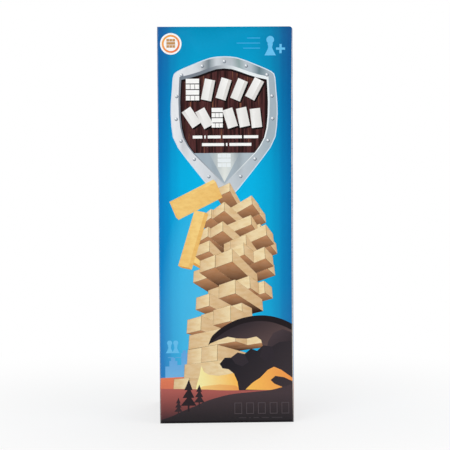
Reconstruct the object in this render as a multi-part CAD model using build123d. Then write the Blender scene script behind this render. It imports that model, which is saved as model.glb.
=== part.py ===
from build123d import *
import math
import os

# Boxed tumbling-tower game: a printed folding carton with tuck-in ends, full of wooden blocks.
# Millimetres. The origin is the centre of the bottom face, +Z runs up the tall carton and the
# front panel faces -Y. Each piece is written at its place in the closed carton.

# ---- wooden blocks ----
BLOCK_LENGTH = 75.0
BLOCK_WIDTH = 24.8
BLOCK_HEIGHT = 15.0
BLOCK_EDGE_RADIUS = 0.7      # eased edges of a tumbled block
BLOCK_GAP = 0.3              # between neighbours of one layer
BLOCKS_PER_LAYER = 3
LAYERS = 15

# ---- carton board and clearances ----
BOARD = 0.6                  # thickness of the folding board
FOLD_GAP = 0.15              # at a crease, between the round edge and the panel that it turns on
LAP_GAP = 0.2                # between a lid and the dust flap under it
BLOCK_CLEARANCE = 0.3        # from the blocks to the nearest board
LIFT_PLAY = 1.5              # how far the loose blocks can rise under the closed top
HEAD_CLEARANCE = 0.4         # what is left above the blocks when they have risen
FOLD_RADIUS = 0.4            # outside radius of the upright folded edges
TOP_CORNER_RADIUS = 2.0      # soft upper right corner of the front panel

# ---- closures ----
LID_SIDE_INSET = 1.2         # a lid is this much narrower than the carton on each side
TONGUE_LENGTH = 14.0
TONGUE_SIDE_CLEARANCE = 0.5  # from the tongue's ends to the side panels
TONGUE_CORNER_RADIUS = 8.0
TONGUE_CLEARANCE = 0.3       # from the tip of the tongue to the blocks and dust flaps
DUST_FLAP_LENGTH = 30.0
DUST_FLAP_END_GAP = 1.0      # at the crease, from the dust flap to the lid's hinge
DUST_FLAP_TAPER = 0.7        # the back edge gives way by this much per millimetre of reach
DUST_FLAP_CORNER_RADIUS = 4.0
GLUE_FLAP_WIDTH = 12.0
GLUE_FLAP_END_CUT = 4.0      # the glue flap's ends are cut back on a slant by this much

# ---- travel of the closures, in degrees ----
LID_TRAVEL = 180.0
TONGUE_TRAVEL = 80.0
EXTRA_LEAN = 1.0             # added to the tongue's lean, so that its tip slides out freely

# ---- what follows from the sizes above ----
layer_width = BLOCKS_PER_LAYER * BLOCK_WIDTH + (BLOCKS_PER_LAYER - 1) * BLOCK_GAP
footprint = max(BLOCK_LENGTH, layer_width)
stack_height = LAYERS * BLOCK_HEIGHT

# The glue flap lies between a side panel and the blocks, so the sides keep room for it.
inner_width = footprint + 2 * (BOARD + BLOCK_CLEARANCE)
carton_width = inner_width + 2 * BOARD

# The tongue leans back so that its tip clears the front panel as the lid swings up. The tip is
# out when the lid has turned by about exit_angle, taken on a lid as short as the blocks.
tongue_turn_rate = TONGUE_TRAVEL / LID_TRAVEL
exit_angle = math.degrees(math.asin(TONGUE_LENGTH / footprint))
tongue_lean = (0.5 + tongue_turn_rate) * exit_angle + EXTRA_LEAN
tongue_setback = TONGUE_LENGTH * math.sin(math.radians(tongue_lean))
tuck_space = FOLD_GAP + BOARD + tongue_setback + TONGUE_CLEARANCE
carton_depth = BOARD + tuck_space + footprint + BLOCK_CLEARANCE + BOARD

closure_height = BOARD + LAP_GAP + BOARD
head_room = LIFT_PLAY + HEAD_CLEARANCE
stack_bottom = closure_height + BLOCK_CLEARANCE
carton_height = stack_bottom + stack_height + head_room + closure_height

half_width = carton_width / 2
half_depth = carton_depth / 2
half_board = BOARD / 2
stack_y = half_depth - BOARD - BLOCK_CLEARANCE - footprint / 2

# Hinge lines of the top closure. The bottom closure is its mirror image.
lid_axis_y = half_depth - half_board
lid_axis_z = carton_height - half_board
tongue_axis_y = -half_depth + BOARD + FOLD_GAP + half_board
dust_axis_x = half_width - half_board
dust_axis_z = carton_height - BOARD - LAP_GAP - half_board


def write(node, shape):
    """Write one named piece to its own STEP file."""
    shape.label = node
    export_step(shape, os.path.join("parts", node + ".step"))


def slab(x_range, y_range, z_range):
    """A rectangular solid between two corners."""
    ranges = (x_range, y_range, z_range)
    size = [high - low for low, high in ranges]
    centre = [(high + low) / 2 for low, high in ranges]
    return Pos(*centre) * Box(*size)


def hinged_strip(width, reach):
    """A strip of board whose crease edge is half round.

    The crease lies on the X axis, the strip reaches towards +Y and its thickness is centred on Z.
    """
    lower_edge = Line((0, -half_board), (reach, -half_board))
    free_edge = Line((reach, -half_board), (reach, half_board))
    upper_edge = Line((reach, half_board), (0, half_board))
    crease = ThreePointArc((0, half_board), (-half_board, 0), (0, -half_board))
    section = Plane.YZ * make_face([lower_edge, free_edge, upper_edge, crease])
    return extrude(section, amount=width / 2, both=True)


def free_corners(strip, reach, radius):
    """Round the two upright corners at the strip's free edge."""
    corners = strip.edges().filter_by(Axis.Z).filter_by_position(Axis.Y, reach - 0.01, reach + 0.01)
    return fillet(corners, radius)


def at_end(side, shape):
    """Keep a top piece where it is, or mirror it to the bottom end of the carton."""
    if side == "top":
        return shape
    return mirror(shape, about=Plane.XY.offset(carton_height / 2))


def closure_end(axis_z):
    """Where a panel ends below the crease that a closure piece turns on."""
    return axis_z - half_board - FOLD_GAP


def make_lid(side):
    """The closing panel, which turns on the back panel's end crease."""
    reach = lid_axis_y - tongue_axis_y - half_board - FOLD_GAP
    strip = hinged_strip(carton_width - 2 * LID_SIDE_INSET, reach)
    return at_end(side, Pos(0, lid_axis_y, lid_axis_z) * Rot(0, 0, 180) * strip)


def make_tongue(side):
    """The tuck-in tongue, which turns on the lid's front crease and leans back from the front."""
    strip = hinged_strip(inner_width - 2 * TONGUE_SIDE_CLEARANCE, TONGUE_LENGTH)
    strip = free_corners(strip, TONGUE_LENGTH, TONGUE_CORNER_RADIUS)
    return at_end(side, Pos(0, tongue_axis_y, lid_axis_z) * Rot(tongue_lean - 90, 0, 0) * strip)


def make_dust_flap(side, hand):
    """A dust flap, which turns on a side panel's end crease.

    Its back edge tapers, so that it stays under the lid while both swing open. hand is -1 for
    the left flap and +1 for the right one.
    """
    front_y = -half_depth + BOARD + tuck_space
    back_y = lid_axis_y - half_board - DUST_FLAP_END_GAP
    strip = hinged_strip(back_y - front_y, DUST_FLAP_LENGTH)
    edge = (back_y - front_y) / 2
    low, high = -0.1 * DUST_FLAP_LENGTH, 1.1 * DUST_FLAP_LENGTH
    wedge = Polyline(
        (-edge + DUST_FLAP_TAPER * low, low),
        (-edge + DUST_FLAP_TAPER * high, high),
        (-2 * edge, high),
        (-2 * edge, low),
        close=True,
    )
    strip -= extrude(make_face(wedge), amount=BOARD, both=True)
    strip = free_corners(strip, DUST_FLAP_LENGTH, DUST_FLAP_CORNER_RADIUS)
    middle_y = (front_y + back_y) / 2
    left = Pos(-dust_axis_x, middle_y, dust_axis_z) * Rot(0, 0, -90) * strip
    return at_end(side, left if hand < 0 else mirror(left, about=Plane.YZ))


def make_front_panel():
    """The front panel runs the full height, with one soft upper corner."""
    panel = slab(
        (-half_width, half_width), (-half_depth, -half_depth + BOARD), (0, carton_height)
    )
    outer_edges = panel.edges().filter_by(Axis.Z).filter_by_position(
        Axis.Y, -half_depth - 0.01, -half_depth + 0.01
    )
    panel = fillet(outer_edges, FOLD_RADIUS)
    cutter = slab(
        (half_width - TOP_CORNER_RADIUS, half_width),
        (-half_depth, -half_depth + BOARD),
        (carton_height - TOP_CORNER_RADIUS, carton_height),
    )
    corner_x = half_width - TOP_CORNER_RADIUS
    corner_z = carton_height - TOP_CORNER_RADIUS
    rounding = Pos(corner_x, -half_depth + half_board, corner_z) * Rot(90, 0, 0)
    cutter -= rounding * Cylinder(TOP_CORNER_RADIUS, 2 * BOARD)
    return panel - cutter


def make_back_panel():
    """The back panel stops at the lids' creases."""
    end = closure_end(lid_axis_z)
    panel = slab(
        (-half_width, half_width), (half_depth - BOARD, half_depth), (carton_height - end, end)
    )
    outer_edges = panel.edges().filter_by(Axis.Z).filter_by_position(
        Axis.Y, half_depth - 0.01, half_depth + 0.01
    )
    return fillet(outer_edges, FOLD_RADIUS)


def make_side_panel(hand):
    """A side panel fits between front and back, and stops at the dust flaps' creases."""
    end = closure_end(dust_axis_z)
    inner, outer = sorted((hand * (half_width - BOARD), hand * half_width))
    return slab(
        (inner, outer), (-half_depth + BOARD, half_depth - BOARD), (carton_height - end, end)
    )


def make_glue_flap():
    """The joining strip folded in from the back panel, behind the left panel, with slanted ends."""
    end = closure_end(dust_axis_z)
    back = half_depth - BOARD
    front = back - GLUE_FLAP_WIDTH
    outline = Polyline(
        (back, carton_height - end),
        (back, end),
        (front, end - GLUE_FLAP_END_CUT),
        (front, carton_height - end + GLUE_FLAP_END_CUT),
        close=True,
    )
    strip = extrude(Plane.YZ * make_face(outline), amount=BOARD)
    return Pos(-half_width + BOARD, 0, 0) * strip


def make_blocks():
    """All blocks by name: the layers run across the carton and front to back by turns."""
    block = Box(BLOCK_LENGTH, BLOCK_WIDTH, BLOCK_HEIGHT)
    block = fillet(block.edges(), BLOCK_EDGE_RADIUS)
    pitch = BLOCK_WIDTH + BLOCK_GAP
    blocks = {}
    for layer in range(LAYERS):
        middle_z = stack_bottom + (layer + 0.5) * BLOCK_HEIGHT
        across = layer % 2 == 0
        places = ("front", "middle", "back") if across else ("left", "middle", "right")
        for index, place in enumerate(places):
            offset = (index - (BLOCKS_PER_LAYER - 1) / 2) * pitch
            if across:
                placed = Pos(0, stack_y + offset, middle_z) * block
            else:
                placed = Pos(offset, stack_y, middle_z) * Rot(0, 0, 90) * block
            blocks[f"block_{layer + 1:02d}_{place}"] = placed
    return blocks


os.makedirs("parts", exist_ok=True)

write("front_panel", make_front_panel())
write("back_panel", make_back_panel())
write("left_panel", make_side_panel(-1))
write("right_panel", make_side_panel(+1))
write("glue_flap", make_glue_flap())

for side in ("top", "bottom"):
    write(f"{side}_lid", make_lid(side))
    write(f"{side}_tongue", make_tongue(side))
    write(f"{side}_dust_flap_left", make_dust_flap(side, -1))
    write(f"{side}_dust_flap_right", make_dust_flap(side, +1))

for node, shape in make_blocks().items():
    write(node, shape)

print(f"carton {carton_width:.2f} x {carton_depth:.2f} x {carton_height:.2f} mm")
print(f"lid hinge y {lid_axis_y:.4f} z {lid_axis_z:.4f}")
print(f"tongue hinge y {tongue_axis_y:.4f}, leaning back {tongue_lean:.3f} degrees")
print(f"dust flap hinge x {dust_axis_x:.4f} z {dust_axis_z:.4f}")
print(f"tower centre y {stack_y:.4f}, from z {stack_bottom:.3f}")
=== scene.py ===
import math
import random

import bmesh
import bpy
from mathutils import Matrix, Vector, geometry


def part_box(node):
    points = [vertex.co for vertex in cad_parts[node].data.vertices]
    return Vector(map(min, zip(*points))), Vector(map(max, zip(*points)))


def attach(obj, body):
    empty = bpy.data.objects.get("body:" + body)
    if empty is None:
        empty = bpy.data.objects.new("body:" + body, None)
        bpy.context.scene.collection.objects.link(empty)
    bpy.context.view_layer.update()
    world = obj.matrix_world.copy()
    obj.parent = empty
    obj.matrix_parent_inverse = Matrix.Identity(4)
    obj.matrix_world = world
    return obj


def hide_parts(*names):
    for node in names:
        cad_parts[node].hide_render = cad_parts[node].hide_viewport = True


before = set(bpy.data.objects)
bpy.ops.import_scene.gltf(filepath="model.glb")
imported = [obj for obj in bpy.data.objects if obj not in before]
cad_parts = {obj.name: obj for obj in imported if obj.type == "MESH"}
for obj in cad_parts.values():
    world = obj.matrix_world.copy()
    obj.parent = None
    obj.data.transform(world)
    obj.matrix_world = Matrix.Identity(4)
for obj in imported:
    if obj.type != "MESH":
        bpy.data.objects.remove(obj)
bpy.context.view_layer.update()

# A closed printed carton of a tumbling-tower game, and the wooden blocks in it. The prints are
# flat regions of ink cut into each board's outer face. They are drawn in millimetres across and
# up: from the foot of the carton at a wall's middle, or from the middle of a lid or dust flap.
# Nothing printed is lettering: bare shapes and pictograms take its place.

MM = 0.001
front_low, front_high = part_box("front_panel")
_, back_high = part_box("back_panel")
WIDTH = (front_high.x - front_low.x) / MM
HEIGHT = front_high.z / MM
DEPTH = (back_high.y - front_low.y) / MM
EDGE = 1.0                 # how far a print runs past its panel's edges before it is cut


# ---------------------------------------------------------------- colours and shaders

def ink(red, green, blue):
    """A printed colour, given as 0 to 255 for each screen primary, as linear light."""
    def linear(value):
        value /= 255
        return value / 12.92 if value <= 0.04045 else ((value + 0.055) / 1.055) ** 2.4
    return (linear(red), linear(green), linear(blue), 1.0)


def mixed(first, second, share):
    """A colour between two, with share of the second."""
    return tuple(a + (b - a) * share for a, b in zip(first, second))


def node(tree, kind, inputs=None, **settings):
    """A shader node, with its settings and with each input linked or given a value."""
    made = tree.nodes.new(kind)
    for name, value in settings.items():
        setattr(made, name, value)
    for name, value in (inputs or {}).items():
        if isinstance(value, bpy.types.NodeSocket):
            tree.links.new(value, made.inputs[name])
        else:
            made.inputs[name].default_value = value
    return made


def math_node(tree, operation, first, second=0.0, clamp=False):
    """The output of one arithmetic node."""
    made = node(tree, "ShaderNodeMath", {0: first, 1: second}, operation=operation, use_clamp=clamp)
    return made.outputs[0]


def ramp(tree, factor, stops, interpolation="LINEAR"):
    """The colour output of a ramp through (position, colour) stops."""
    made = node(tree, "ShaderNodeValToRGB", {"Fac": factor})
    made.color_ramp.interpolation = interpolation
    elements = made.color_ramp.elements
    while len(elements) < len(stops):
        elements.new(1.0)
    for element, (position, colour) in zip(elements, stops):
        element.position = position
        element.color = colour
    return made.outputs["Color"]


def blend_colours(tree, factor, first, second, mode="MIX"):
    """The colour output of a mix of two colours."""
    made = node(tree, "ShaderNodeMix", data_type="RGBA", blend_type=mode)
    for socket, value in ((made.inputs[0], factor), (made.inputs[6], first), (made.inputs[7], second)):
        if isinstance(value, bpy.types.NodeSocket):
            tree.links.new(value, socket)
        else:
            socket.default_value = value
    return made.outputs[2]


def grey(value):
    return (value, value, value, 1.0)


PRINT_ROUGHNESS = 0.38
PRINT_GLOSS = 0.06


def new_shader(name, roughness=PRINT_ROUGHNESS, gloss=PRINT_GLOSS):
    """A material, its node tree and its surface shader."""
    material = bpy.data.materials.new(name)
    material.use_nodes = True
    surface = material.node_tree.nodes["Principled BSDF"]
    surface.inputs["Roughness"].default_value = roughness
    surface.inputs["Specular IOR Level"].default_value = gloss
    return material, material.node_tree, surface


def multiplied(tree, first, second, share=1.0):
    """The first colour darkened by the second."""
    return blend_colours(tree, share, first, second, "MULTIPLY")


def noise(tree, place, scale, detail, **others):
    """The grey output of a noise texture."""
    inputs = {"Vector": place, "Scale": scale, "Detail": detail, **others}
    return node(tree, "ShaderNodeTexNoise", inputs).outputs["Fac"]


def mapped(tree, place, scale=(1.0, 1.0, 1.0), turn=(0.0, 0.0, 0.0)):
    """A place scaled and then turned, so that a texture is stretched along a direction."""
    return node(tree, "ShaderNodeMapping", {"Vector": place, "Scale": scale, "Rotation": turn}).outputs[0]


def object_place(tree):
    """The place on the object in metres."""
    return node(tree, "ShaderNodeTexCoord").outputs["Object"]


def stored(tree, name):
    """The outputs for what a printed board stores under a name at its corners."""
    return node(tree, "ShaderNodeAttribute", attribute_name=name).outputs


def stored_ink(tree):
    """The colour that each region stores at its corners."""
    return stored(tree, "ink")["Color"]


def panel_spot(tree):
    """Across and up the panel in metres, as the X and Z of a vector."""
    return stored(tree, "spot")["Vector"]


def place_on_panel(tree):
    """Across, from -1 at a panel's left edge to 1 at its right, and up, from 0 to 1."""
    split = node(tree, "ShaderNodeSeparateXYZ", {0: stored(tree, "place")["Vector"]})
    return split.outputs[0], split.outputs[1]


def roughen(tree, surface, height, strength, distance):
    """Bumps a surface by a grey texture, whose full height is distance in metres."""
    bump = node(tree, "ShaderNodeBump", {"Height": height, "Strength": strength, "Distance": distance})
    tree.links.new(bump.outputs["Normal"], surface.inputs["Normal"])


def print_shader(name, colour, roughness=PRINT_ROUGHNESS, gloss=PRINT_GLOSS):
    """A print whose colour is built by colour(tree), with the faint mottle of ink on board."""
    material, tree, surface = new_shader(name, roughness, gloss)
    place = panel_spot(tree)
    mottle = ramp(tree, noise(tree, place, 900.0, 2.0), [(0.3, grey(0.97)), (0.7, grey(1.0))])
    tree.links.new(multiplied(tree, colour(tree), mottle), surface.inputs["Base Color"])
    roughen(tree, surface, noise(tree, place, 260.0, 1.0), 0.05, 0.0002)
    return material


def sky_colour(tree):
    """The blue of the panels: deeper to the sides and the top, and hazy low on the left."""
    across, up = place_on_panel(tree)
    middle = ramp(tree, up, [
        (0.15, ink(30, 178, 228)), (0.45, ink(8, 182, 232)), (0.62, ink(0, 180, 230)),
        (0.85, ink(0, 162, 210)), (1.0, ink(0, 146, 192)),
    ])
    sides = ramp(tree, up, [
        (0.15, ink(46, 128, 196)), (0.35, ink(12, 132, 200)), (0.6, ink(0, 128, 197)),
        (0.85, ink(4, 108, 176)), (1.0, ink(26, 96, 162)),
    ])
    side_share = ramp(tree, math_node(tree, "ABSOLUTE", across), [
        (0.42, grey(0.0)), (0.64, grey(0.14)), (0.77, grey(0.44)), (0.88, grey(0.84)), (0.97, grey(1.0)),
    ], "EASE")
    colour = blend_colours(tree, side_share, middle, sides)
    squares = []
    for value, haze_middle, haze_reach in ((across, -0.38, 0.62), (up, 0.27, 0.33)):
        offset = math_node(tree, "DIVIDE", math_node(tree, "SUBTRACT", value, haze_middle), haze_reach)
        squares.append(math_node(tree, "MULTIPLY", offset, offset))
    haze = math_node(tree, "SUBTRACT", 1.0, math_node(tree, "ADD", *squares), clamp=True)
    colour = blend_colours(tree, math_node(tree, "MULTIPLY", haze, 0.6), colour, ink(92, 192, 236))
    right_shade = ramp(tree, across, [(0.35, grey(1.0)), (1.0, grey(0.76))])
    return multiplied(tree, colour, right_shade)


def timber_colour(tree):
    """The pictured wooden blocks: the stored colour, with faint printed grain."""
    stretched = mapped(tree, panel_spot(tree), (220.0, 220.0, 500.0), (0.0, 0.5, 0.0))
    lines = ramp(tree, noise(tree, stretched, 1.0, 4.0), [(0.38, ink(244, 232, 212)), (0.58, grey(1.0))])
    return multiplied(tree, stored_ink(tree), lines, 0.6)


def plank_colour(tree):
    """The badge's dark planks: upright reddish streaks, and dark seams between the planks."""
    place = panel_spot(tree)
    upright = mapped(tree, place, (1000.0, 1000.0, 42.0))
    streaks = ramp(tree, noise(tree, upright, 0.62, 5.0, Roughness=0.62, Distortion=0.5), [
        (0.30, ink(10, 4, 5)), (0.44, ink(52, 28, 28)), (0.53, ink(86, 48, 48)),
        (0.60, ink(62, 34, 32)), (0.66, ink(144, 92, 68)), (0.74, ink(62, 34, 34)),
    ])
    boards = node(tree, "ShaderNodeTexWave",
                  {"Vector": place, "Scale": 40.0, "Distortion": 0.6, "Detail": 1.0})
    seams = ramp(tree, boards.outputs["Fac"], [(0.02, grey(0.25)), (0.12, grey(1.0))])
    return multiplied(tree, streaks, seams, 0.75)


def steel_colour(tree):
    """The badge's pictured steel: the stored tone, with soft bands as on brushed plate."""
    slanted = mapped(tree, panel_spot(tree), (52.0, 52.0, 14.0), (0.0, 0.35, 0.0))
    sheen = ramp(tree, noise(tree, slanted, 1.6, 3.0), [
        (0.34, grey(0.66)), (0.5, grey(0.92)), (0.62, grey(1.0)),
    ])
    return multiplied(tree, stored_ink(tree), sheen, 0.75)


def wrap_shader():
    """The creases: the panels' print carried on, in bands by height, and pale lavender in places, partly as
    rubbed board and partly as a painted highlight where the fold catches light.
    """
    material, tree, surface = new_shader("wrap_print")
    place = object_place(tree)
    height = node(tree, "ShaderNodeSeparateXYZ", {0: place}).outputs[2]
    printed = ramp(tree, math_node(tree, "DIVIDE", height, HEIGHT * MM), [
        (0.0, ink(50, 44, 48)), (0.075, ink(150, 84, 82)), (0.092, ink(214, 122, 88)),
        (0.118, ink(60, 138, 204)), (0.45, ink(20, 130, 200)), (0.8, ink(8, 110, 176)),
        (1.0, ink(26, 96, 154)),
    ])
    # pale lavender patches: partly rubbed wear on the fold, partly a painted highlight standing in for light
    # caught by its rounded edge
    wear_and_highlight_noise = noise(tree, place, 95.0, 4.0, Roughness=0.6)
    wear_and_highlight_mask = ramp(tree, wear_and_highlight_noise, [(0.5, grey(0.1)), (0.7, grey(0.5))])
    colour = blend_colours(tree, wear_and_highlight_mask, printed, ink(214, 214, 232))
    tree.links.new(colour, surface.inputs["Base Color"])
    return material


def board_shader(name, tone, speck):
    """Bare board: short fibres, faint cloudy patches and a soft tooth."""
    material, tree, surface = new_shader(name, 0.85, 0.2)
    place = object_place(tree)
    fibres = noise(tree, place, 1500.0, 3.0)
    fine = ramp(tree, fibres, [(0.38, speck), (0.55, tone)])
    clouds = ramp(tree, noise(tree, place, 70.0, 2.0), [(0.3, grey(0.93)), (0.7, grey(1.0))])
    tree.links.new(multiplied(tree, fine, clouds), surface.inputs["Base Color"])
    roughen(tree, surface, fibres, 0.25, 0.00006)
    return material


def wood_shader(name, turn, light, dark):
    """Pale planed wood whose growth rings run along the block; turn points them along it."""
    material, tree, surface = new_shader(name, 0.6, 0.25)
    lottery = node(tree, "ShaderNodeObjectInfo").outputs["Random"]
    shift = math_node(tree, "MULTIPLY", lottery, 9.0)
    shift = node(tree, "ShaderNodeCombineXYZ", {0: shift, 1: shift, 2: shift}).outputs[0]
    place = node(tree, "ShaderNodeVectorMath", {0: object_place(tree), 1: shift}, operation="ADD").outputs[0]
    along = mapped(tree, mapped(tree, place, turn=(0.0, 0.0, turn)), (3.0, 60.0, 60.0))
    rings = node(tree, "ShaderNodeTexWave",
                 {"Vector": along, "Scale": 1.1, "Distortion": 5.0, "Detail": 2.0, "Detail Scale": 0.6},
                 wave_type="RINGS", rings_direction="X")
    colour = ramp(tree, rings.outputs["Fac"], [(0.0, dark), (0.45, light), (1.0, light)])
    fibres = noise(tree, mapped(tree, along, (3.0, 26.0, 26.0)), 1.0, 4.0)
    for layer in (
        ramp(tree, fibres, [(0.35, grey(0.82)), (0.6, grey(1.0))]),
        ramp(tree, noise(tree, along, 0.9, 2.0), [(0.3, grey(0.9)), (0.7, grey(1.0))]),
        ramp(tree, lottery, [
            (0.0, ink(255, 240, 218)), (0.5, ink(238, 220, 198)), (1.0, ink(255, 250, 240)),
        ]),
    ):
        colour = multiplied(tree, colour, layer)
    tree.links.new(colour, surface.inputs["Base Color"])
    roughen(tree, surface, fibres, 0.3, 0.00008)
    return material


INKS = {
    "sky": print_shader("sky_print", sky_colour),
    "flat": print_shader("flat_print", stored_ink),
    "timber": print_shader("timber_print", timber_colour),
    "planks": print_shader("plank_print", plank_colour),
    "steel": print_shader("steel_print", steel_colour, 0.32, 0.3),
    "wrap": wrap_shader(),
    "white board": board_shader("white_board", ink(236, 234, 228), ink(226, 223, 215)),
    "grey board": board_shader("grey_board", ink(205, 199, 188), ink(178, 170, 157)),
    "cut edge": board_shader("cut_edge", ink(222, 217, 207), ink(198, 190, 178)),
}
INK_NAMES = list(INKS)


# ---------------------------------------------------------------- flat outlines, in millimetres

def smooth(points, steps):
    """An open curve through the points, as a Catmull-Rom spline."""
    last = len(points) - 1
    curve = []
    for index in range(last):
        before, start, end, after = (points[min(max(index + k, 0), last)] for k in (-1, 0, 1, 2))
        for step in range(steps):
            t = step / steps
            curve.append(tuple(
                0.5 * (2 * q + (r - p) * t + (2 * p - 5 * q + 4 * r - s) * t * t
                       + (3 * q - p - 3 * r + s) * t ** 3)
                for p, q, r, s in zip(before, start, end, after)
            ))
    return curve + [points[-1]]


def rectangle(left, low, right, high):
    return [(left, low), (right, low), (right, high), (left, high)]


def disc(x, z, radius, sides):
    turns = [2 * math.pi * k / sides for k in range(sides)]
    return [(x + radius * math.cos(a), z + radius * math.sin(a)) for a in turns]


def rounded(left, low, right, high, radius, steps=5):
    """A rectangle with rounded corners."""
    corners = ((right - radius, high - radius, 0), (left + radius, high - radius, 90),
               (left + radius, low + radius, 180), (right - radius, low + radius, 270))
    outline = []
    for x, z, start in corners:
        for step in range(steps + 1):
            angle = math.radians(start + 90 * step / steps)
            outline.append((x + radius * math.cos(angle), z + radius * math.sin(angle)))
    return outline


def turned(points, degrees, x, z):
    """The points turned about (x, z)."""
    c, s = math.cos(math.radians(degrees)), math.sin(math.radians(degrees))
    return [(x + (px - x) * c - (pz - z) * s, z + (px - x) * s + (pz - z) * c) for px, pz in points]


def moved(points, dx, dz, scale=1.0):
    """The points scaled about the origin, then shifted."""
    return [(px * scale + dx, pz * scale + dz) for px, pz in points]


def twice_area(outline):
    """Twice the area inside an outline, less than nothing if it runs clockwise."""
    return sum(a[0] * b[1] - b[0] * a[1] for a, b in zip(outline, outline[1:] + outline[:1]))


def fade(start, end, first, second):
    """An ink that changes evenly from first at the point start to second at the point end."""
    dx, dz = end[0] - start[0], end[1] - start[1]
    square = dx * dx + dz * dz

    def shade(x, z):
        share = ((x - start[0]) * dx + (z - start[1]) * dz) / square
        return mixed(first, second, min(max(share, 0.0), 1.0))
    return shade


class Print:
    """The inks of one panel, in the order that they are laid down."""

    def __init__(self, base="sky", colour=grey(1.0)):
        self.layers = [(None, base, colour)]

    def lay(self, outline, colour, kind="flat"):
        """One region: its outline, its colour or fade, and which shader shows it."""
        self.layers.append((outline if twice_area(outline) > 0 else outline[::-1], kind, colour))


# ---------------------------------------------------------------- printed boards

LONGEST_EDGE = 12.0        # a panel's long edges are divided, so that the panel can bow
PARALLEL = 0.9999          # the least cosine between the outer side's normal and a face of it
SAME_POINT = 2e-7          # metres: vertices of the CAD mesh nearer than this are one
SAME_LEVEL = 1e-6          # metres: faces within this of the outermost belong to the outer side
CUT_ERROR = 1e-4           # millimetres: how exactly the outlines of regions are crossed
ON_RIM = 2e-3              # millimetres: a region's point nearer than this to the rim is on it
SHARP = math.radians(35)   # edges that turn by more than this are shaded as sharp


def outer_side(board, normal):
    """The faces of the board's outer side."""
    flat = [face for face in board.faces if face.normal.dot(normal) > PARALLEL]
    level = max(face.calc_center_median().dot(normal) for face in flat)
    return [face for face in flat if face.calc_center_median().dot(normal) > level - SAME_LEVEL]


def loop_of(faces):
    """The vertices round the outside of a set of faces, in order."""
    inside = set(faces)
    following = {}
    for face in faces:
        for corner in face.loops:
            if not any(other in inside for other in corner.edge.link_faces if other is not face):
                following[corner.vert] = corner.link_loop_next.vert
    start = next(iter(following))
    ring = [start]
    while following[ring[-1]] is not start:
        ring.append(following[ring[-1]])
    return ring


def vertex_between(start, end, share):
    """Adds a vertex on the edge between two others, at a share of the way, and gives it."""
    edge = next(edge for edge in start.link_edges if edge.other_vert(start) is end)
    return bmesh.utils.edge_split(edge, start, share)[1]


def divide_ring(ring):
    """Adds vertices along the long edges of the ring, and gives the new ring."""
    divided = []
    for here, other in zip(ring, ring[1:] + ring[:1]):
        divided.append(here)
        parts = int((other.co - here.co).length / MM // LONGEST_EDGE)
        for part in range(parts):
            here = vertex_between(here, other, 1.0 / (parts + 1 - part))
            divided.append(here)
    return divided


def cut_regions(outline, layers):
    """Cuts the outline's inside along every layer. Gives points, triangles and their top layers."""
    points, faces = [Vector(p) for p in outline], [list(range(len(outline)))]
    for shape, _, _ in layers[1:]:
        faces.append(list(range(len(points), len(points) + len(shape))))
        points += [Vector(p) for p in shape]
    points, _, triangles, _, _, owners = geometry.delaunay_2d_cdt(points, [], faces, 1, CUT_ERROR, True)
    return points, [(tri, max(owner)) for tri, owner in zip(triangles, owners) if 0 in owner]


def seat_rim(ring, flat, points, triangles):
    """Finds or adds the ring's vertex for each point on the rim of the triangles.

    A region that runs to the edge brings new points there, which the neighbouring faces share.
    """
    uses = {}
    for tri, _ in triangles:
        for pair in zip(tri, tri[1:] + tri[:1]):
            key = (min(pair), max(pair))
            uses[key] = uses.get(key, 0) + 1
    known = {}
    for index in {index for key, count in uses.items() if count == 1 for index in key}:
        spot = points[index]
        nearest = min(ring, key=lambda v: (Vector(flat(v.co)) - spot).length)
        if (Vector(flat(nearest.co)) - spot).length < ON_RIM:
            known[index] = nearest
            continue
        for position, (vertex, other) in enumerate(zip(ring, ring[1:] + ring[:1])):
            start, end = Vector(flat(vertex.co)), Vector(flat(other.co))
            hit, share = geometry.intersect_point_line(spot, start, end)
            if 0.0 < share < 1.0 and (hit.to_2d() - spot).length < ON_RIM:
                known[index] = vertex_between(vertex, other, share)
                ring.insert(position + 1, known[index])
                break
    return known


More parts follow.
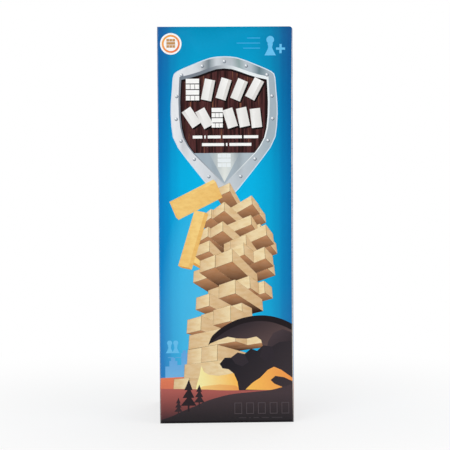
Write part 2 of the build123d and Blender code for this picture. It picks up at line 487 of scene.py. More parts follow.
def printed_board(node_name, body, slot, normal, right, art, edge_ink, half_width=None):
    """Replaces a CAD board by the same board with its outer side cut into printed regions.

    edge_ink says which ink each edge face takes, from its normal. half_width is given for the
    walls: the sky is then shaded over that and the carton's height, not over the board's own.
    """
    normal, right = Vector(normal), Vector(right)
    upward = normal.cross(right)
    board = bmesh.new()
    board.from_mesh(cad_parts[node_name].data)
    bmesh.ops.remove_doubles(board, verts=board.verts, dist=SAME_POINT)
    bmesh.ops.recalc_face_normals(board, faces=board.faces)
    ink_layer, place_layer, spot_layer = (
        board.loops.layers.float_color.new(name) for name in ("ink", "place", "spot"))
    uv_layer = board.loops.layers.uv.new("OFBake")

    low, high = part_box(node_name)
    base = (low + high) / 2
    if abs(upward.z) > 0.5:
        base.z = 0.0

    def flat(point):
        return ((point - base).dot(right) / MM, (point - base).dot(upward) / MM)

    ring = divide_ring(loop_of(outer_side(board, normal)))
    level = outer_side(board, normal)[0].calc_center_median().dot(normal)
    points, triangles = cut_regions([flat(v.co) for v in ring], art.layers)
    known = seat_rim(ring, flat, points, triangles)
    bmesh.ops.delete(board, geom=outer_side(board, normal), context="FACES_ONLY")
    wires = [edge for edge in board.edges if not edge.link_faces]
    bmesh.ops.delete(board, geom=wires, context="EDGES")

    plane_origin = base + normal * (level - base.dot(normal))
    for face in board.faces:
        face.smooth = True
        face.material_index = INK_NAMES.index(
            "grey board" if face.normal.dot(normal) < -0.1 else edge_ink(face.normal))
    for tri, owner in triangles:
        corners = []
        for index in tri:
            if index not in known:
                x, z = points[index]
                known[index] = board.verts.new(plane_origin + (right * x + upward * z) * MM)
            corners.append(known[index])
        if len(set(corners)) < 3 or board.faces.get(corners):
            continue
        face = board.faces.new(corners)
        face.smooth = True
        _, kind, colour = art.layers[owner]
        face.material_index = INK_NAMES.index(kind)
        for corner in face.loops:
            x, z = flat(corner.vert.co)
            corner[ink_layer] = colour(x, z) if callable(colour) else colour

    size_x, size_z = ((high - low).dot(Vector(map(abs, way))) / MM for way in (right, upward))
    low_z = flat(low)[1] if upward.z > 0.5 else -size_z / 2
    half_x, zero_z, full_z = (half_width, 0.0, HEIGHT) if half_width else (size_x / 2, low_z, size_z)
    for face in board.faces:
        for corner in face.loops:
            x, z = flat(corner.vert.co)
            corner[place_layer] = (x / half_x, (z - zero_z) / full_z, 0.0, 1.0)
            corner[spot_layer] = (x * MM, 0.0, z * MM, 1.0)
            corner[uv_layer].uv = bake_place(face.normal, corner.vert.co, x, z - low_z, size_x, size_z,
                                             normal, right, level)
    bmesh.ops.recalc_face_normals(board, faces=board.faces)
    used = sorted({face.material_index for face in board.faces})
    for face in board.faces:
        face.material_index = used.index(face.material_index)
    mesh = bpy.data.meshes.new(node_name + "_print")
    board.to_mesh(mesh)
    open_edges = sum(1 for edge in board.edges if len(edge.link_faces) != 2)
    if open_edges:
        print("open edges on", node_name, open_edges)
    board.free()
    for index in used:
        mesh.materials.append(INKS[INK_NAMES[index]])
    mesh.set_sharp_from_angle(angle=SHARP)
    piece = bpy.data.objects.new(node_name + "_print", mesh)
    bpy.context.scene.collection.objects.link(piece)
    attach(piece, body)
    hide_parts(node_name)
    return piece


def bake_place(face_normal, point, x, z, size_x, size_z, normal, right, level):
    """Where a corner lies in the baked picture: outer side, inner side, then the edges as strips."""
    gap = 2.0
    side = face_normal.dot(normal)
    depth = (level - point.dot(normal)) / MM
    if side > 0.5:
        spot = (x + size_x / 2, z)
    elif side < -0.5:
        spot = (x + size_x * 1.5 + gap, z)
    elif abs(face_normal.dot(right)) > 0.5:
        strip = 2 * size_x + 2 * gap + (0 if face_normal.dot(right) > 0 else 2 * gap)
        spot = (strip + depth, z)
    else:
        strip = size_z + gap + (0 if face_normal.dot(normal.cross(right)) > 0 else 2 * gap)
        spot = (x + size_x / 2, strip + depth)
    whole = max(2 * size_x + 6 * gap, size_z + 5 * gap)
    return ((spot[0] + gap / 2) / whole, (spot[1] + gap / 2) / whole)


# ---------------------------------------------------------------- the picture of the tower

PICTURE_FOCUS = 129.0      # the picture's own lens, in millimetres on the panel
PICTURE_DISTANCE = 300.0   # from the eye to the pictured tower, in block units
PICTURE_PITCH = math.radians(22.0)
PICTURE_FOOT = 16.0        # where the pictured tower starts on the panel
PICTURE_TURN = 55.0        # degrees that the pictured tower is turned
PICTURE_LAYERS = 17
PICTURE_SEED = 35
PICTURE_ROWS = ((-1, 0, 1), (-1, 1), (0, 1), (-1, 0), (0, 1), (0,))
BLOCK = (75.0, 25.0, 19.0)

CREAM = ink(244, 224, 180)
CREAM_DIM = ink(210, 172, 128)
UNDER_NEAR = ink(194, 142, 102)
UNDER_FAR = ink(34, 18, 18)
SEAM = ink(92, 58, 42)
LIGHT = Vector((-0.35, -0.75, 0.56))
SLIVER = 0.4               # a side seen so edge-on that it covers less than half this isn't drawn
JOINT = 0.1                # the thin dark joint round each side of a pictured block


def worms_eye(point):
    """Where a point of the pictured tower falls on the panel, seen from its foot looking up."""
    c, s = math.cos(PICTURE_PITCH), math.sin(PICTURE_PITCH)
    away = point.y + PICTURE_DISTANCE
    depth, height = away * c + point.z * s, point.z * c - away * s
    return (point.x / depth * PICTURE_FOCUS, (height / depth + s / c) * PICTURE_FOCUS + PICTURE_FOOT)


def spin(degrees, axis):
    """A turn about an axis."""
    return Matrix.Rotation(math.radians(degrees), 3, axis)


def straight_on(point):
    return (point.x, point.z)


def drawn_in(polygon, amount):
    """The polygon made smaller by an amount at each corner, for the thin joint round a face."""
    cx = sum(p[0] for p in polygon) / len(polygon)
    cz = sum(p[1] for p in polygon) / len(polygon)
    smaller = []
    for x, z in polygon:
        away = max(math.hypot(x - cx, z - cz), 1e-6)
        smaller.append((x + (cx - x) / away * amount, z + (cz - z) / away * amount))
    return smaller


def lay_block(art, project, place, turn, size, tones, joint=None, shadow=None, kind="timber"):
    """One pictured block: its sides that face the eye, each with a thin joint round it.

    tones are its colour in light and in shade, and its underside's near and far.
    """
    bright, dim, under_near, under_far = tones
    sides = []
    for axis in range(3):
        for sign in (-1, 1):
            corners = []
            for u, v in ((-1, -1), (1, -1), (1, 1), (-1, 1))[::sign]:
                corner = Vector()
                corner[axis], corner[(axis + 1) % 3], corner[(axis + 2) % 3] = sign, u, v
                corners.append(project(place + turn @ (corner * Vector(size) / 2)))
            if twice_area(corners) > SLIVER:
                sides.append((turn.col[axis] * sign, corners))
    if shadow:
        for _, corners in sides:
            art.lay(moved(corners, 0.8, -0.9), shadow)
    for normal, corners in sides:
        low, high = min(p[1] for p in corners), max(p[1] for p in corners)
        left, right = min(p[0] for p in corners), max(p[0] for p in corners)
        tone = mixed(dim, bright, min(max(0.3 + normal.dot(LIGHT), 0.0), 1.0))
        if normal.z < -0.6:
            colour = fade((0, high), (0, high - (high - low) * 0.8), under_near, under_far)
        elif normal.x < 0:
            colour = fade((left, 0), (right, 0), mixed(tone, dim, 0.6), tone)
        else:
            colour = fade((left, 0), (right, 0), tone, mixed(tone, dim, 0.6))
        if joint:
            art.lay(corners, joint)
            corners = drawn_in(corners, JOINT)
        art.lay(corners, colour, kind)


GOLD = (ink(250, 216, 138), ink(236, 186, 104), ink(230, 172, 90), ink(212, 150, 76))
SHADED = (ink(206, 184, 168), ink(166, 138, 126), ink(140, 104, 90), ink(112, 78, 66))


def lay_loose_block(art, x, z, size, lean, roll, tones=GOLD):
    """A block in the air, its broad side towards the eye."""
    length, width, thickness = size
    turn = spin(-lean, "Y") @ spin(9, "Z") @ spin(roll, "X")
    lay_block(art, straight_on, Vector((x, 0, z)), turn, (length, thickness, width), tones,
              mixed(tones[1], tones[2], 0.7))


def lay_outline(art, x, z, width, height, line, colour):
    """A thin upright rectangle in outline, about its middle (x, z)."""
    left, low, right, high = x - width / 2, z - height / 2, x + width / 2, z + height / 2
    art.lay(rectangle(left, low, left + line, high), colour)
    art.lay(rectangle(right - line, low, right, high), colour)
    art.lay(rectangle(left, high - line, right, high), colour)
    art.lay(rectangle(left, low, right, low + line), colour)


def lay_tower(art, seed):
    """A leaning stack seen from its foot, painted from the top layer down."""
    rng = random.Random(seed)
    _, width, height = BLOCK
    layers = []
    for layer in range(PICTURE_LAYERS):
        rise = layer / (PICTURE_LAYERS - 1)
        x, y = 18 * rise + rng.uniform(-6, 6), rng.uniform(-5, 5)
        yaw = math.radians(PICTURE_TURN + (90 if layer % 2 else 0) + rng.uniform(-1, 1) * (2 + 6 * rise))
        c, s = math.cos(yaw), math.sin(yaw)
        row = []
        for place in rng.choice(PICTURE_ROWS) if layer < PICTURE_LAYERS - 1 else (0,):
            slide = -rng.choice((0, 1, 1)) * rng.uniform(4, 27) + rng.uniform(-2, 2)
            aside = place * width * 1.01
            centre = Vector((x + slide * c - aside * s, y + slide * s + aside * c, (layer + 0.5) * height))
            row.append((centre, Matrix.Rotation(yaw, 3, "Z"), rng.random()))
        layers.append(sorted(row, key=lambda block: -block[0].y))
    for row in reversed(layers):
        for centre, turn, shade in row:
            dim = mixed(CREAM_DIM, UNDER_NEAR, shade * 0.3)
            lay_block(art, worms_eye, centre, turn, BLOCK, (CREAM, dim, UNDER_NEAR, UNDER_FAR), SEAM)


# ---------------------------------------------------------------- the rest of the artwork

SOOT = ink(46, 42, 45)
PINE = ink(46, 38, 42)
ICON_BLUE = ink(104, 192, 238)
WHITE = ink(248, 248, 246)
# The inks of the land: the far plain, the slope at dusk and the dark hill, each by height.
PLAIN = fade((0, 27), (0, 20), ink(228, 128, 92), ink(214, 118, 90))
SLOPE = fade((0, 20), (0, 3), ink(178, 97, 90), ink(78, 52, 56))
HILL = fade((0, 17), (0, 3), ink(72, 60, 64), SOOT)
HILL_LOW = 6.0             # the dark hill's height at one edge of a panel, and at the other
HILL_HIGH = 22.0


def ground(art, crests, colour):
    """A band of land under a smooth crest line, down past the panel's foot."""
    art.lay(smooth(crests, 5) + [(crests[-1][0], -EDGE), (crests[0][0], -EDGE)], colour)


def lay_land(art, half, left_hill, right_hill):
    """The plain, the dusk slope and the dark hill, with the hill's height at each edge."""
    wide = half + EDGE
    ground(art, [(-wide, 26.6), (-half * 0.4, 27.3), (half * 0.3, 26.6), (wide, 26.8)], PLAIN)
    ground(art, [(-wide, 20.3), (-half * 0.3, 19.6), (half * 0.4, 20.8), (wide, 20.4)], SLOPE)
    middle = (left_hill + right_hill) / 2 + 1.5
    ground(art, [(-wide, left_hill), (-half * 0.55, left_hill + (middle - left_hill) * 0.45),
                    (0, middle), (half * 0.5, middle + (right_hill - middle) * 0.45),
                    (wide, right_hill)], HILL)


def lay_pine(art, x, foot, height, colour):
    """A plain tree in outline, as three tiers on a stem."""
    art.lay(rectangle(x - height * 0.03, foot - 1, x + height * 0.03, foot + height * 0.2), colour)
    for tier in range(3):
        low = foot + height * (0.14 + 0.26 * tier)
        half = height * (0.26 - 0.06 * tier)
        art.lay([(x - half, low), (x + half, low), (x + half * 0.12, low + height * 0.36)], colour)


def lay_pawn(art, x, foot, height, colour):
    """A plain game pawn."""
    radius = height * 0.2
    body = smooth([(-0.3, 0.0), (-0.24, 0.1), (-0.1, 0.4), (-0.13, 0.62),
                   (0.13, 0.62), (0.1, 0.4), (0.24, 0.1), (0.3, 0.0)], 3)
    art.lay(moved(body, x, foot, height), colour)
    art.lay(disc(x, foot + height - radius, radius, 14), colour)


SHIELD_TOP = 212.7
SHIELD_RIGHT = [
    (3.8, -0.15), (7.6, -0.7), (13.0, -2.5), (18.4, -4.7), (23.8, -6.9), (27.2, -8.6), (28.8, -10.0),
    (29.5, -12.4), (30.0, -19.0), (30.7, -27.0), (30.8, -33.0), (30.4, -40.0), (29.6, -46.0),
    (26.8, -52.0), (22.4, -58.0), (16.4, -65.6), (8.0, -76.0),
]
SHIELD_HALF_WIDTH = 30.8
SHIELD_TIP = -84.0
PLANKS_RIGHT = [
    (0.0, -6.7), (4.4, -7.1), (8.6, -8.4), (14.0, -10.4), (19.4, -12.0), (24.8, -13.2), (25.1, -18.0),
    (25.5, -26.0), (25.3, -34.0), (24.6, -41.0), (23.2, -46.6), (20.6, -51.4), (17.6, -55.4),
]
PLATE_TIP = -73.2          # the foot of the bare plate under the planks
TITLE_WIDTH = 45.0
RIVETS = 16


def shield(shrink, top_drop, tip_lift):
    """The badge's outline about its middle line, drawn in by shrink at the sides."""
    right = []
    for x, z in SHIELD_RIGHT:
        share = x / SHIELD_HALF_WIDTH
        height = (z - SHIELD_TIP) / -SHIELD_TIP
        lift = top_drop * height ** 3 - tip_lift * (1 - height) ** 2
        right.append((x - shrink * share, z - lift))
    left = [(-x, z) for x, z in reversed(right)]
    return [(0.0, -top_drop)] + right + [(0.0, SHIELD_TIP + tip_lift)] + left


def rim_height(x):
    """How far the badge's top edge lies below its middle, at x from the middle line."""
    edge = [(0.0, 0.0)] + SHIELD_RIGHT
    (ax, az), (bx, bz) = next(span for span in zip(edge, edge[1:]) if abs(x) <= span[1][0])
    return az + (bz - az) * (abs(x) - ax) / (bx - ax)


def rivet_places():
    """Points at even steps round the middle of the badge's rim."""
    path = shield(2.6, 2.5, 6.0)
    path.append(path[0])
    spans = [math.dist(a, b) for a, b in zip(path, path[1:])]
    step, places, travelled, target = sum(spans) / RIVETS, [], 0.0, 0.0
    for (ax, az), (bx, bz), span in zip(path, path[1:], spans):
        while target <= travelled + span and len(places) < RIVETS:
            share = (target - travelled) / span
            places.append((ax + (bx - ax) * share, az + (bz - az) * share))
            target += step
        travelled += span
    return places


def lay_shield(art, x=-0.5, top=SHIELD_TOP, scale=1.0):
    """The steel-rimmed badge with its dark planks and, below them, a bare steel plate."""
    def put(points):
        return moved(points, x, top, scale)

    def across(first, second, reach=30):
        return fade((x - reach * scale, 0), (x + reach * scale, 0), first, second)

    def glint(tone, other, middle, half):
        """A tone that turns to another at middle, and is itself again half to either side."""
        def shade(px, pz):
            return mixed(other, tone(px, pz), min(abs((px - x) / scale - middle) / half, 1.0))
        return shade

    art.lay(put(shield(-0.3, -0.3, -0.5)), ink(212, 226, 236))
    steel = across(ink(234, 236, 240), ink(160, 176, 186))
    art.lay(put(shield(0.25, 0.25, 0.4)), steel, "steel")
    for middle, half, dark in ((-9.0, 4.5, ink(134, 148, 156)), (8.4, 4.0, ink(140, 162, 162)),
                               (20.6, 5.0, ink(98, 124, 132))):
        edge = [(at, rim_height(at)) for at in (middle - half, middle, middle + half)]
        band = [(px, pz - 0.4) for px, pz in edge] + [(px, pz - 7.0) for px, pz in reversed(edge)]
        art.lay(put(band), glint(steel, dark, middle, half), "steel")

    rim = [(-px, pz) for px, pz in reversed(PLANKS_RIGHT)] + PLANKS_RIGHT[1:]
    low = PLANKS_RIGHT[-1][1]
    inside = rim + [(0.0, PLATE_TIP)]
    groove = across(ink(120, 128, 138), ink(232, 238, 240), 8)
    art.lay(put([(px * 1.04, (pz - low) * 1.04 + low) for px, pz in inside]), groove)
    plate = across(ink(158, 174, 186), ink(176, 188, 196), 16)
    art.lay(put(inside), plate, "steel")
    beam = [(-9.0, low), (-1.5, low), (1.5, low), (9.0, low), (0.0, PLATE_TIP + 1.0)]
    art.lay(put(beam), glint(plate, ink(232, 236, 230), 0.0, 9.0), "steel")
    art.lay(put(rim), ink(22, 12, 14))
    art.lay(put([(px * 0.97, (pz - low) * 0.975 + low) for px, pz in rim]), WHITE, "planks")

    for rx, rz in rivet_places():
        cx, cz = x + rx * scale, top + rz * scale
        for dx, dz, radius, sides, tone in ((0.2, -0.24, 1.0, 12, ink(104, 112, 122)),
                                            (0.0, 0.0, 0.8, 12, ink(190, 198, 206)),
                                            (-0.2, 0.2, 0.42, 10, ink(252, 252, 252))):
            art.lay(disc(cx + dx * scale, cz + dz * scale, radius * scale, sides), tone)


def lay_title_blocks(art):
    """Where a title would be: two rows of plain white blocks that topple, each beside a small tower."""
    black, tones = ink(10, 6, 6), (WHITE, ink(212, 208, 204), ink(168, 162, 158), ink(150, 144, 140))
    for middle, height, cells, way in ((194.2, 13.0, "tbbbb", 1), (177.9, 11.8, "bbtbbb", -1)):
        pitch = TITLE_WIDTH / len(cells)
        for index, cell in enumerate(cells):
            x = -0.8 - TITLE_WIDTH / 2 + pitch * (index + 0.5)
            if cell == "t":
                for shift, colour in ((0.8, black), (0.0, WHITE)):
                    foot = middle - height / 2 - shift
                    lay_stack(art, x + shift, foot, pitch * 0.86, 4, colour, height / 4)
                continue
            turn = spin(5.5 * index + (6 if way > 0 else -34), "Y") @ spin(-34 * way, "Z")
            spot = Vector((x, 0, middle - 0.5 * (index % 2)))
            lay_block(art, straight_on, spot, turn, (5.0, 3.4, height * 0.94), tones, None, black, "flat")


def lay_rules(art, x, z, lengths, thickness, colour, gap=1.0):
    """A broken rule: short bars end to end, centred on x."""
    whole = sum(lengths) + gap * (len(lengths) - 1)
    left = x - whole / 2
    for length in lengths:
        art.lay(rectangle(left, z - thickness / 2, left + length, z + thickness / 2), colour)
        left += length + gap


def lay_stack(art, x, foot, width, rows, colour, pitch=None):
    """A small pictogram of a stack of blocks, end-on and side-on by turns."""
    pitch = pitch or width * 0.354
    for row in range(rows):
        low = foot + row * pitch
        high = low + pitch * 0.84
        if row % 2:
            art.lay(rectangle(x - width / 2, low, x + width / 2, high), colour)
        else:
            for part in (-1, 0, 1):
                left = x + part * width * 0.345 - width * 0.155
                art.lay(rectangle(left, low, left + width * 0.31, high), colour)


def lay_crags(art):
    """A dark rock overhang at the right, and a jagged ridge below it with gold in its hollows."""
    arc = smooth([(40.5, 56.4), (34, 60), (26, 62.3), (18, 62.7), (9, 61.2), (1.5, 58.2),
                  (-4.4, 54.4), (-8.6, 50.4), (-10.6, 45.4)], 5)
    eaves = [(-9.4, 46.6), (-4.6, 48.6), (1.0, 50.4), (6.4, 49.4), (12, 49.2), (17.6, 50.4),
             (20.4, 48.4), (21.2, 45.2), (21.6, 41.0), (40.5, 38.0)]
    art.lay(arc + eaves, ink(34, 28, 31))
    inner = smooth([(40.5, 52.8), (34, 56.2), (26, 58.8), (18, 59.4), (9.6, 58.0), (2.6, 55.2),
                    (-3.4, 51.6), (-8.2, 47.6)], 5)
    art.lay(inner + eaves[1:], fade((14, 60), (24, 40), ink(52, 44, 49), ink(100, 80, 78)))
    art.lay([(40.5, 52.0), (33, 54.6), (27.6, 52.4), (24.4, 47.2), (23.4, 41.4), (40.5, 38.0)],
               fade((26, 52), (36, 40), ink(74, 62, 66), ink(44, 38, 43)))
    glow = [(-18.4, 18.8), (-17.2, 23.6), (-15.8, 28.0), (-14.8, 33.6), (-13.2, 30.0), (-10.6, 28.4),
            (-5.0, 27.6), (0.6, 28.4), (8.0, 30.0), (9.8, 24.0), (10.4, 18.8)]
    ridge = [(40.5, 48.0), (31, 47.0), (26.8, 44.4), (21.6, 45.2), (18.0, 42.0), (14.4, 43.4),
             (10.6, 40.2), (6.6, 41.2), (2.6, 38.2), (-1.0, 38.2), (-4.0, 34.6), (-2.4, 32.0),
             (1.2, 31.4), (4.2, 29.0), (6.4, 24.0), (7.4, 17.2), (40.5, 17.2)]
    art.lay(glow, fade((-15, 22), (6, 24), ink(250, 240, 172), ink(253, 190, 90)))
    art.lay([(-18.4, 18.8), (-14, 21.6), (-4, 22.6), (5, 21.8), (10.4, 18.8)],
               fade((-15, 20), (8, 20), ink(246, 206, 128), ink(240, 160, 84)))
    art.lay(ridge, fade((6, 42), (34, 18), ink(34, 32, 38), ink(62, 54, 58)))
    art.lay([(6.6, 41.2), (10.6, 40.2), (13.0, 35.4), (9.2, 33.0), (5.2, 34.6), (2.6, 38.2)],
               ink(52, 46, 52))
    art.lay([(21.6, 45.2), (26.8, 44.4), (28.6, 38.6), (23.8, 35.4), (19.4, 38.6)], ink(50, 44, 50))
    art.lay([(11.0, 19.4), (15.2, 23.4), (19.6, 26.2), (24.2, 30.8), (27.8, 32.6), (32.0, 30.8),
                (39.5, 25.4), (39.5, 23.6), (33.6, 26.4), (28.6, 27.2), (25.8, 24.8), (28.0, 22.6),
                (33.8, 20.2), (33.0, 18.6)],
               fade((12, 20), (38, 28), ink(253, 196, 96), ink(240, 150, 78)))


def lay_far_blocks(art, x):
    """Pale towers of toy blocks on the horizon."""
    pale = fade((0, 27), (0, 40), ink(116, 182, 230), ink(100, 168, 226))
    for left, right, high in ((0, 3.2, 33.4), (2.4, 7.0, 36.6), (3.4, 5.8, 38.4), (7.0, 10.2, 34.2),
                              (9.4, 13.2, 41.2), (10.2, 12.2, 42.8)):
        art.lay(rectangle(x + left, 26, x + right, high), pale)


def paint_front():
    """The front panel's print."""
    wide = WIDTH / 2 + EDGE
    art = Print()
    lay_far_blocks(art, -35.8)
    lay_shield(art)
    lay_title_blocks(art)
    lay_rules(art, 0.2, 166.6, (5.6, 0.9, 7.6, 11.2, 8.4), 1.7, WHITE, 1.1)
    lay_rules(art, 0.9, 162.2, (12.8, 0.9, 12.8), 1.7, WHITE, 1.1)
    lay_stack(art, -0.6, 149.2, 7.6, 3, ink(232, 238, 240))
    ground(art, [(-wide, 26.6), (-12, 27.4), (12, 26.6), (wide, 26.8)], PLAIN)
    lay_loose_block(art, -11.6, 103.6, (25.0, 10.4, 5.0), 57, 34, SHADED)
    lay_loose_block(art, -12.8, 92.6, (15.0, 5.0, 4.0), -29, -20)
    lay_tower(art, PICTURE_SEED)
    lay_loose_block(art, -17.2, 130.4, (29.0, 10.6, 5.0), 26.5, 24)
    lay_loose_block(art, -19.0, 107.0, (34.0, 7.0, 4.4), 73.0, -30)
    lay_crags(art)
    ground(art, [(-wide, 20.4), (-15, 19.8), (2, 19.0), (wide, 19.0)], SLOPE)
    ground(art, [(-wide, 1.6), (-33, 3.8), (-26, 7.0), (-19, 9.8), (-11, 13.2), (2, 16.6), (16, 18.0),
                    (27, 19.2), (wide, 22.8)], HILL)
    art.lay(rectangle(-wide, -EDGE, wide, 1.3), ink(34, 31, 34))
    lay_pine(art, -22.4, 7.8, 17.5, PINE)
    lay_pine(art, -16.2, 10.4, 12.0, ink(54, 44, 48))
    lay_pine(art, -28.4, 5.4, 9.5, ink(58, 46, 50))
    lay_badge(art, -31.2, 220.2)
    lay_pawn(art, 26.2, 213.4, 11.2, ICON_BLUE)
    art.lay(rectangle(29.6, 216.6, 34.8, 217.9), ICON_BLUE)
    art.lay(rectangle(31.55, 214.6, 32.85, 219.9), ICON_BLUE)
    for z, length in ((223.4, 7.6), (220.5, 13.6), (217.6, 9.8)):
        art.lay(rectangle(20.4 - length, z - 0.28, 20.4, z + 0.28), ink(60, 168, 222))
    for x in (-33.2, -29.6):
        lay_pawn(art, x, 41.2, 7.4, ICON_BLUE)
    lay_rules(art, -29.8, 38.6, (3.4, 4.4), 0.5, ink(96, 170, 222), 0.9)
    for index in range(5):
        lay_outline(art, 6.6 + 6.9 * index, 8.4, 4.4, 6.6, 0.34, ink(84, 76, 80))
    lay_rules(art, 19.6, 2.8, (4.2, 1.2, 3.2, 4.2, 6.2), 0.36, ink(72, 66, 70), 1.6)
    return art


def lay_badge(art, x, z):
    """A round white sticker with a small stack of blocks on it."""
    art.lay(disc(x, z, 6.2, 32), WHITE)
    amber = fade((x - 5, z + 5), (x + 5, z - 5), ink(246, 176, 84), ink(232, 112, 84))
    art.lay(disc(x, z, 5.2, 32), amber)
    art.lay(disc(x, z, 4.1, 32), WHITE)
    lay_stack(art, x, z - 2.2, 5.0, 3, ink(196, 146, 92))


def paint_side(half, seed, left_hill, right_hill):
    """A side panel: sky, land, a small badge and blocks in the air."""
    rng = random.Random(seed)
    art = Print()
    lay_shield(art, 0.0, 206.0, 0.62)
    for index in range(5):
        z = 134.0 - 21.5 * index + rng.uniform(-2, 2)
        x = (13.0 if index % 2 else -12.0) + rng.uniform(-3, 3)
        lay_loose_block(art, x, z, (29.0, 10.0, 5.6), rng.uniform(-38, 62), rng.choice((-28, 28)))
    lay_land(art, half, left_hill, right_hill)
    for index in range(3):
        lay_pine(art, -half * 0.55 + half * 0.5 * index, 9.5, 13.0 + 3.5 * (index % 2), PINE)
    return art


CARD_WOOD = ink(222, 180, 118)
CARD_GOLD = ink(240, 204, 128)
CARD_BLUE = ink(0, 128, 188)


def lay_step(art, low, drawing):
    """A white rounded card with one step of play on it."""
    art.lay(rounded(-30.0, low - 0.8, 30.0, low + 38.8, 4.0), ink(0, 104, 164))
    paper = fade((0, low), (0, low + 38), ink(226, 240, 247), WHITE)
    art.lay(rounded(-29.4, low, 29.4, low + 38.0, 3.4), paper)
    drawing(art, low)


def step_stack(art, low):
    """A block is added to the stack."""
    lay_stack(art, -12.0, low + 4.0, 13.0, 6, CARD_WOOD)
    lay_loose_block(art, 12.0, low + 18.0, (17.0, 5.6, 3.4), 14, 26)
    art.lay([(-1.5, low + 17), (3.0, low + 19.4), (3.0, low + 14.6)], CARD_BLUE)


def step_pull(art, low):
    """A block is pulled out of the stack."""
    lay_stack(art, -10.0, low + 4.0, 13.0, 6, CARD_WOOD)
    art.lay(rectangle(-3.4, low + 13.2, 9.8, low + 17.1), CARD_GOLD)
    art.lay([(19.5, low + 15.2), (14.5, low + 18.0), (14.5, low + 12.4)], CARD_BLUE)


def step_place(art, low):
    """The block is laid on top of the stack."""
    lay_stack(art, 0.0, low + 4.0, 13.0, 6, CARD_WOOD)
    art.lay(turned(rectangle(-6.5, low + 33.0, 6.5, low + 36.6), 5, 0, low + 34), CARD_GOLD)
    art.lay([(12.0, low + 27.0), (9.2, low + 32.0), (14.8, low + 32.0)], CARD_BLUE)


def paint_back():
    """The back panel: three cards that show how the game is played, and land below them."""
    art = Print()
    lay_stack(art, 0.0, 206.0, 17.0, 3, WHITE)
    for index, drawing in enumerate((step_place, step_pull, step_stack)):
        lay_step(art, 48.0 + 50.0 * index, drawing)
    lay_land(art, WIDTH / 2, HILL_HIGH, HILL_LOW)
    art.lay(rounded(12.0, 5.0, 33.0, 17.0, 1.2), WHITE)
    return art


def paint_lid():
    """The top lid: the badge's steel ring round a stack of blocks."""
    art = Print()
    art.lay(disc(0, 0, 21.0, 48), ink(214, 224, 232))
    steel = fade((-20, 0), (20, 0), ink(228, 231, 236), ink(158, 174, 184))
    art.lay(disc(0, 0, 20.4, 48), steel, "steel")
    art.lay(disc(0, 0, 16.4, 48), ink(120, 128, 136))
    art.lay(disc(0, 0, 16.0, 48), WHITE, "planks")
    lay_stack(art, 0.0, -7.6, 15.0, 3, WHITE)
    return art


def paint_base():
    """The bottom lid: dark ground, with a bare pale label."""
    art = Print("flat", SOOT)
    art.lay(rounded(-20, -12, 20, 12, 2.0), ink(228, 226, 222))
    return art


BLEED = 5.0                # how far the side panels' ink runs onto a dust flap


def paint_dust_flap(colour, crease):
    """Bare white board, with the ink's bleed along the crease at x = crease."""
    art = Print("white board", colour)
    outward = 1 if crease > 0 else -1
    left, right = sorted((crease - BLEED * outward, crease + EDGE * outward))
    art.lay(rectangle(left, -DEPTH, right, DEPTH), colour)
    return art


# ---------------------------------------------------------------- the carton

def creased(*turnings):
    """Ink for a board's edges: print where an edge faces along one of turnings, or else bare board."""
    turnings = [Vector(turning) for turning in turnings]

    def choose(face_normal):
        return "wrap" if any(face_normal.dot(turning) > 0.1 for turning in turnings) else "cut edge"
    return choose


def build_carton():
    """The four walls and the glue flap, and at each end a lid, its tongue and two dust flaps."""
    half_depth = DEPTH / 2
    x_axis, y_axis, z_axis = Vector((1, 0, 0)), Vector((0, 1, 0)), Vector((0, 0, 1))
    side_edges = creased(z_axis, -z_axis, y_axis, -y_axis)
    for node_name, slot, normal, right, art, edge_ink, half_width in (
        ("front_panel", "front_print", -y_axis, x_axis, paint_front(),
         creased(x_axis, -x_axis), WIDTH / 2),
        ("back_panel", "blue_print", y_axis, -x_axis, paint_back(),
         creased(x_axis, -x_axis, z_axis, -z_axis), WIDTH / 2),
        ("left_panel", "blue_print", -x_axis, -y_axis, paint_side(half_depth, 4, HILL_LOW, HILL_HIGH),
         side_edges, half_depth),
        ("right_panel", "blue_print", x_axis, y_axis, paint_side(half_depth, 7, HILL_HIGH, HILL_LOW),
         side_edges, half_depth),
        ("glue_flap", "bare_board", x_axis, y_axis, Print("grey board", WHITE), creased(), None),
    ):
        bow(printed_board(node_name, "carton", slot, normal, right, art, edge_ink, half_width))

    for side, sign, lid_print, colour in (("top", 1, paint_lid(), ink(8, 118, 176)),
                                          ("bottom", -1, paint_base(), SOOT)):
        outward = z_axis * sign
        printed_board(f"{side}_lid", f"{side}_lid", "blue_print", outward, x_axis, lid_print,
                      creased(y_axis, -y_axis))
        node_name = f"{side}_tongue"
        printed_board(node_name, node_name, "blue_print", tongue_normal(node_name), x_axis,
                      Print("flat", colour), creased(outward))
        for hand, x in (("left", -1), ("right", 1)):
            node_name = f"{side}_dust_flap_{hand}"
            low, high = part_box(node_name)
            crease = x * (high.x - low.x) / MM / 2
            printed_board(node_name, node_name, "bare_board", outward, x_axis,
                          paint_dust_flap(colour, crease), creased(x_axis * x))


def tongue_normal(node_name):
    """The outward normal of a tongue's broad side, which leans back a little."""
    broad = max(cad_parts[node_name].data.polygons, key=lambda p: p.area * (p.normal.y < 0))
    return broad.normal.normalized()


BOW = 0.5                  # the right side bows in by this much at mid-height


def bow(piece):
    """Draws the panel in at the right, most at mid-height and not at all at its ends."""
    for vertex in piece.data.vertices:
        share = (vertex.co.z / MM - HEIGHT / 2) / (HEIGHT / 2)
        vertex.co.x -= BOW * MM * (1 - share ** 4) * (0.5 + vertex.co.x / (WIDTH * MM))


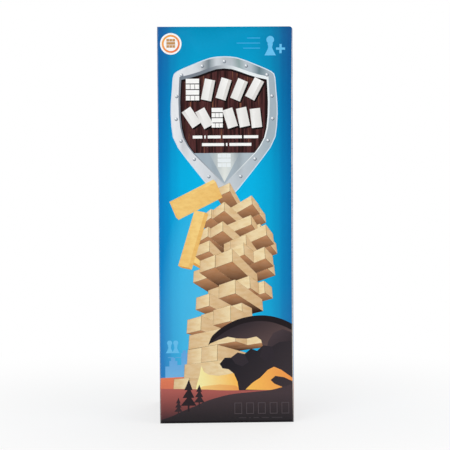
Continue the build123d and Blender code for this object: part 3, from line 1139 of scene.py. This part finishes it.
def build_blocks():
    """The loose blocks keep their CAD shape and get planed wood, its grain along each block."""
    pale, tan = ink(234, 208, 162), ink(218, 184, 134)
    woods = {True: wood_shader("wood_across", 0.0, pale, tan),
             False: wood_shader("wood_front_to_back", math.pi / 2, pale, tan)}
    for name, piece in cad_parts.items():
        if name.startswith("block_"):
            low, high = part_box(name)
            piece.data.materials.clear()
            piece.data.materials.append(woods[high.x - low.x > high.y - low.y])


# ---------------------------------------------------------------- the studio

CAMERA_DISTANCE = 1.0      # metres from the front panel
CAMERA_AZIMUTH = -2.24     # degrees to the left of straight on
CAMERA_ELEVATION = 3.505
CAMERA_ROLL = -0.33
CAMERA_LENS = 138.05
LAMP_SIZE = 1.2
LAMPS = (("key_lamp", (-0.9, -1.6, 1.5), 17.0), ("fill_lamp", (1.5, -1.2, 0.9), 9.0),
         ("back_lamp", (0.4, 1.6, 1.4), 10.0))
SKY_LIGHT = 0.55           # the white surroundings' strength as light, where the camera sees 1
FLOOR_REACH = 6.0
FLOOR_DROP = 0.0002        # metres that the floor lies below the carton's base
FLOOR_PAINT = 0.85


def build_camera():
    """The view: nearly straight on, a little from the left, above the middle."""
    azimuth, elevation = math.radians(CAMERA_AZIMUTH), math.radians(CAMERA_ELEVATION)
    aim = Vector((-0.0006, front_low.y, HEIGHT * MM * 0.5026))
    back = Vector((math.sin(azimuth) * math.cos(elevation), -math.cos(azimuth) * math.cos(elevation),
                   math.sin(elevation)))
    data = bpy.data.cameras.new("camera")
    data.lens = CAMERA_LENS
    camera = bpy.data.objects.new("camera", data)
    bpy.context.scene.collection.objects.link(camera)
    facing = (-back).to_track_quat("-Z", "Y").to_matrix().to_4x4()
    roll = Matrix.Rotation(math.radians(CAMERA_ROLL), 4, "Z")
    camera.matrix_world = Matrix.Translation(aim + back * CAMERA_DISTANCE) @ facing @ roll
    bpy.context.scene.camera = camera


def seen_directly(tree):
    """1 for what the camera sees, itself or in a glossy or clear surface, and 0 for light."""
    path = node(tree, "ShaderNodeLightPath").outputs
    mirrored = math_node(tree, "MAXIMUM", path["Is Glossy Ray"], path["Is Transmission Ray"])
    return math_node(tree, "MAXIMUM", path["Is Camera Ray"], mirrored)


def area_lamp(name, place, power):
    """A square soft lamp aimed at the carton's middle."""
    data = bpy.data.lights.new(name, "AREA")
    data.size, data.energy = LAMP_SIZE, power
    lamp = bpy.data.objects.new(name, data)
    lamp.location = place
    target = Vector((0, 0, HEIGHT * MM / 2))
    lamp.rotation_euler = (target - lamp.location).to_track_quat("-Z", "Y").to_euler()
    bpy.context.scene.collection.objects.link(lamp)


def build_studio():
    """A white floor and surroundings for the camera, soft light all round and three soft lamps."""
    world = bpy.data.worlds.new("studio")
    bpy.context.scene.world = world
    world.use_nodes = True
    tree = world.node_tree
    tree.nodes.clear()
    soft = node(tree, "ShaderNodeBackground", {"Color": grey(1.0), "Strength": SKY_LIGHT})
    white = node(tree, "ShaderNodeBackground", {"Color": grey(1.0), "Strength": 1.0})
    both = node(tree, "ShaderNodeMixShader",
                {0: seen_directly(tree), 1: soft.outputs[0], 2: white.outputs[0]})
    node(tree, "ShaderNodeOutputWorld", {"Surface": both.outputs[0]})

    for name, place, power in LAMPS:
        area_lamp(name, place, power)

    floor_mesh = bpy.data.meshes.new("floor")
    square = rectangle(-FLOOR_REACH, -FLOOR_REACH, FLOOR_REACH, FLOOR_REACH)
    floor_mesh.from_pydata([(x, y, 0) for x, y in square], [], [(0, 1, 2, 3)])
    floor = bpy.data.objects.new("floor", floor_mesh)
    floor.location.z = -FLOOR_DROP
    bpy.context.scene.collection.objects.link(floor)
    material = bpy.data.materials.new("floor_white")
    material.use_nodes = True
    tree = material.node_tree
    tree.nodes.clear()
    paint = node(tree, "ShaderNodeBsdfDiffuse", {"Color": grey(FLOOR_PAINT)})
    bright = node(tree, "ShaderNodeEmission", {"Color": grey(1.0), "Strength": 1.0})
    away = node(tree, "ShaderNodeVectorMath", {0: object_place(tree)}, operation="LENGTH").outputs["Value"]
    open_floor = ramp(tree, away, [(0.05, grey(0.7)), (0.3, grey(1.0))], "EASE")
    lit = math_node(tree, "MULTIPLY", open_floor, seen_directly(tree))
    both = node(tree, "ShaderNodeMixShader", {0: lit, 1: paint.outputs[0], 2: bright.outputs[0]})
    node(tree, "ShaderNodeOutputMaterial", {"Surface": both.outputs[0]})
    floor_mesh.materials.append(material)
    bpy.context.scene.view_settings.view_transform = "Standard"


build_camera()
build_carton()
build_blocks()
build_studio()
